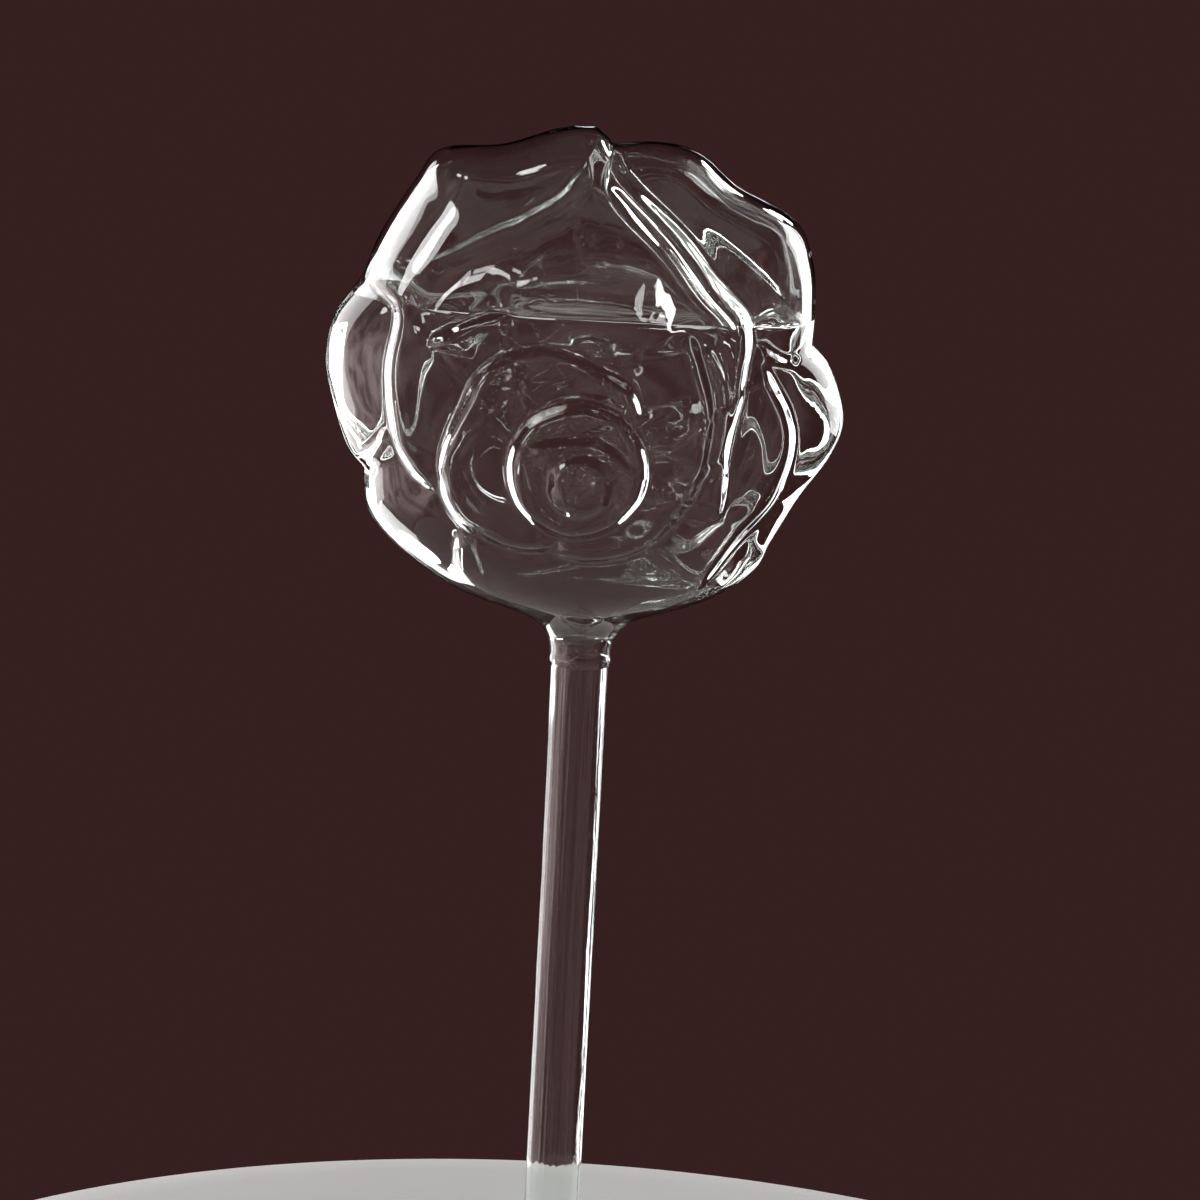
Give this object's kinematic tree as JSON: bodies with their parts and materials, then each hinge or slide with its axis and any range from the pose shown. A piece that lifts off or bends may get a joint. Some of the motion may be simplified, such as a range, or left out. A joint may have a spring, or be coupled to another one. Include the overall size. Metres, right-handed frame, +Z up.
{
  "type": "glass plant waterer",
  "caption": "Hollow blown-glass rose on a slim open glass stem that is pushed into the soil, fills with water and feeds a potted plant slowly.",
  "frame": {"origin": "centre of the open stem tip, on the stem axis", "axes": "+Z up the stem to the rose, -Y out of the front of the rose where the bud is, +X to the right seen from the front"},
  "size_m": [0.0797, 0.0571, 0.1997],
  "materials": {
    "bulb_glass": "clear blown glass, fire-polished and glossy",
    "weld_glass": "clear melted glass bead, glossy",
    "stem_glass": "clear drawn glass tube with faint lengthwise draw lines"
  },
  "bodies": {
    "root": {"rose_bulb": "bulb_glass", "neck_weld": "weld_glass", "stem_tube": "stem_glass"}
  },
  "joints": []
}
